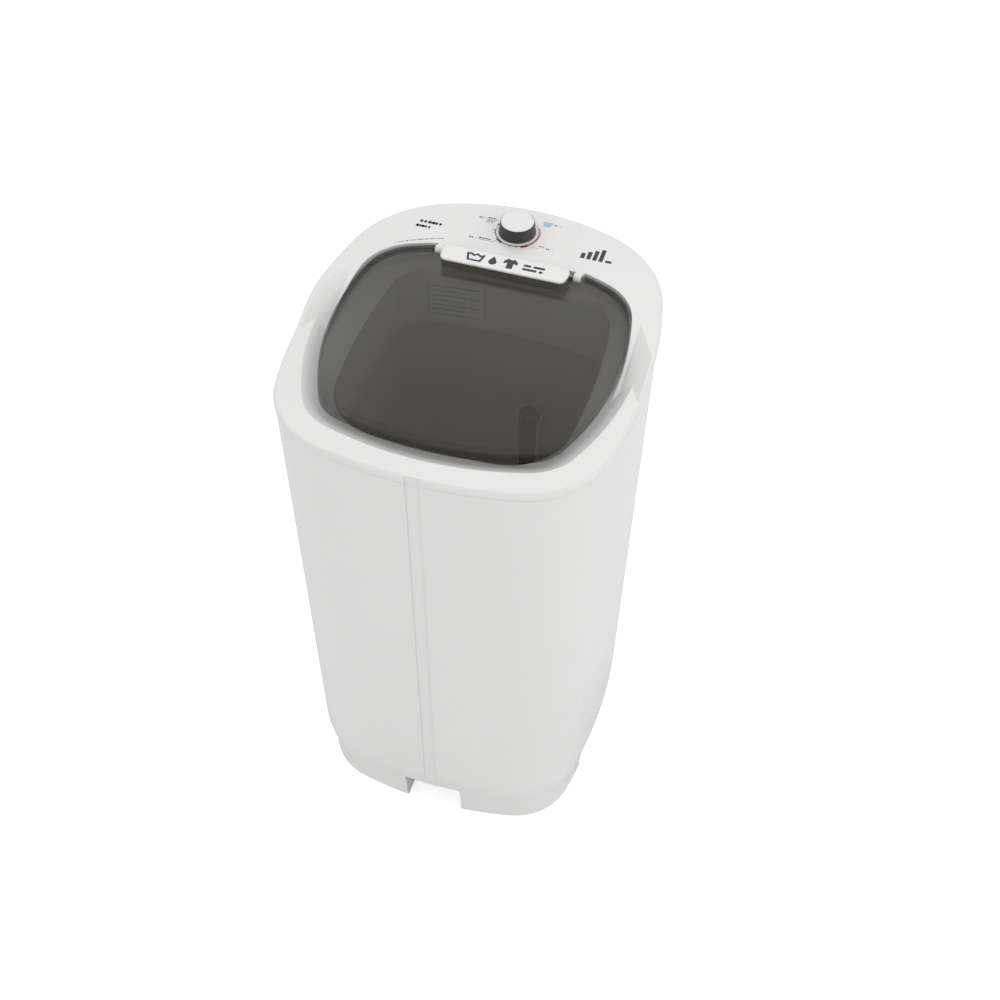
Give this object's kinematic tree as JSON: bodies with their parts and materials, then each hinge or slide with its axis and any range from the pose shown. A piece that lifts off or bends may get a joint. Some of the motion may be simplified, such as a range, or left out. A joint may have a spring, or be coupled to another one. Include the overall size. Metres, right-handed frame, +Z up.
{
  "type": "semi-automatic tub washing machine",
  "caption": "Free-standing top-load tub washer with smoked hinged lid, rear timer dial, belt-driven pulsator, lint filter and moulded feet.",
  "frame": {"origin": "on the floor, under the middle of the plan", "axes": "+Z up, -Y towards the user (front), +X to the user's right"},
  "size_m": [0.5048, 0.5598, 0.902],
  "materials": {
    "white_shell": "smooth white injection-moulded plastic",
    "tub_grey": "mid-grey moulded plastic",
    "smoked": "smoked see-through acrylic",
    "smoked_block": "dark smoked plastic",
    "dark_plastic": "dark grey matt plastic",
    "mesh": "fine polyester mesh",
    "print": "printed film",
    "rubber": "black rubber",
    "steel": "plain steel",
    "bronze": "sintered bronze",
    "cast": "cast aluminium",
    "can": "pale plastic can",
    "cable": "dark sleeved harness"
  },
  "bodies": {
    "root": {"cabinet_shell": "white_shell", "foot_pads": "rubber", "bottom_cover": "white_shell", "top_ring": "white_shell", "tub_collar": "white_shell", "tub_gasket": "rubber", "wash_tub": "tub_grey", "instruction_label": "print", "tub_screws": "steel", "filter_holder": "tub_grey", "dial_ring": "print", "timer_screws": "steel", "timer_body": "dark_plastic", "shaft_housing": "dark_plastic", "housing_screws": "steel", "upper_bush": "bronze", "lower_bush": "bronze", "shaft_seal": "rubber", "drive_belt": "rubber", "motor_stator": "steel", "motor_lower_cap": "cast", "motor_upper_cap": "cast", "motor_mounts": "rubber", "motor_bolts": "steel", "motor_tray": "steel", "capacitor": "can", "capacitor_clamp": "dark_plastic", "drain_outlet": "dark_plastic", "drain_grate": "tub_grey", "drain_hose": "rubber", "drain_spigot": "dark_plastic", "hose_clips": "steel", "cable_gland": "dark_plastic", "wiring_harness": "cable", "harness_clips": "dark_plastic"},
    "lid": {"lid_panel": "smoked", "hinge_block": "smoked_block", "block_screws": "steel", "nameplate": "white_shell", "hinge_pins": "steel"},
    "timer_knob": {"timer_shaft": "steel", "knob_skirt": "dark_plastic", "knob_cap": "white_shell"},
    "lint_filter": {"filter_frame": "dark_plastic", "filter_mesh": "mesh"},
    "pulsator_drive": {"pulsator_shaft": "steel", "pulsator": "tub_grey", "pulsator_screw": "steel", "large_pulley": "cast", "pulley_nut": "steel"},
    "motor_rotor": {"motor_shaft": "steel", "motor_pulley": "cast"}
  },
  "joints": [
    {"name": "lid_hinge", "type": "hinge", "parent": "root", "child": "lid", "pos_m": [0, 0.14583, 0.88026], "axis": [-1, 0, 0], "range_deg": [0, 93]},
    {"name": "timer_turn", "type": "hinge", "parent": "root", "child": "timer_knob", "pos_m": [-0.008, 0.218, 0.88], "axis": [0, 0, -1], "range_deg": [0, 300]},
    {"name": "lint_filter_slide", "type": "slide", "parent": "root", "child": "lint_filter", "axis": [0, 0, 1], "range_m": [0, 0.215]},
    {"name": "pulsator_spin", "type": "hinge", "parent": "root", "child": "pulsator_drive", "pos_m": [0, -0.02, 0.2], "axis": [0, 0, 1], "continuous": true},
    {"name": "motor_spin", "type": "hinge", "parent": "root", "child": "motor_rotor", "pos_m": [-0.138, -0.02, 0.2], "axis": [0, 0, 1], "continuous": true}
  ],
  "couplings": [
    {"joint": "motor_spin", "follows": "pulsator_spin", "ratio": 3}
  ]
}
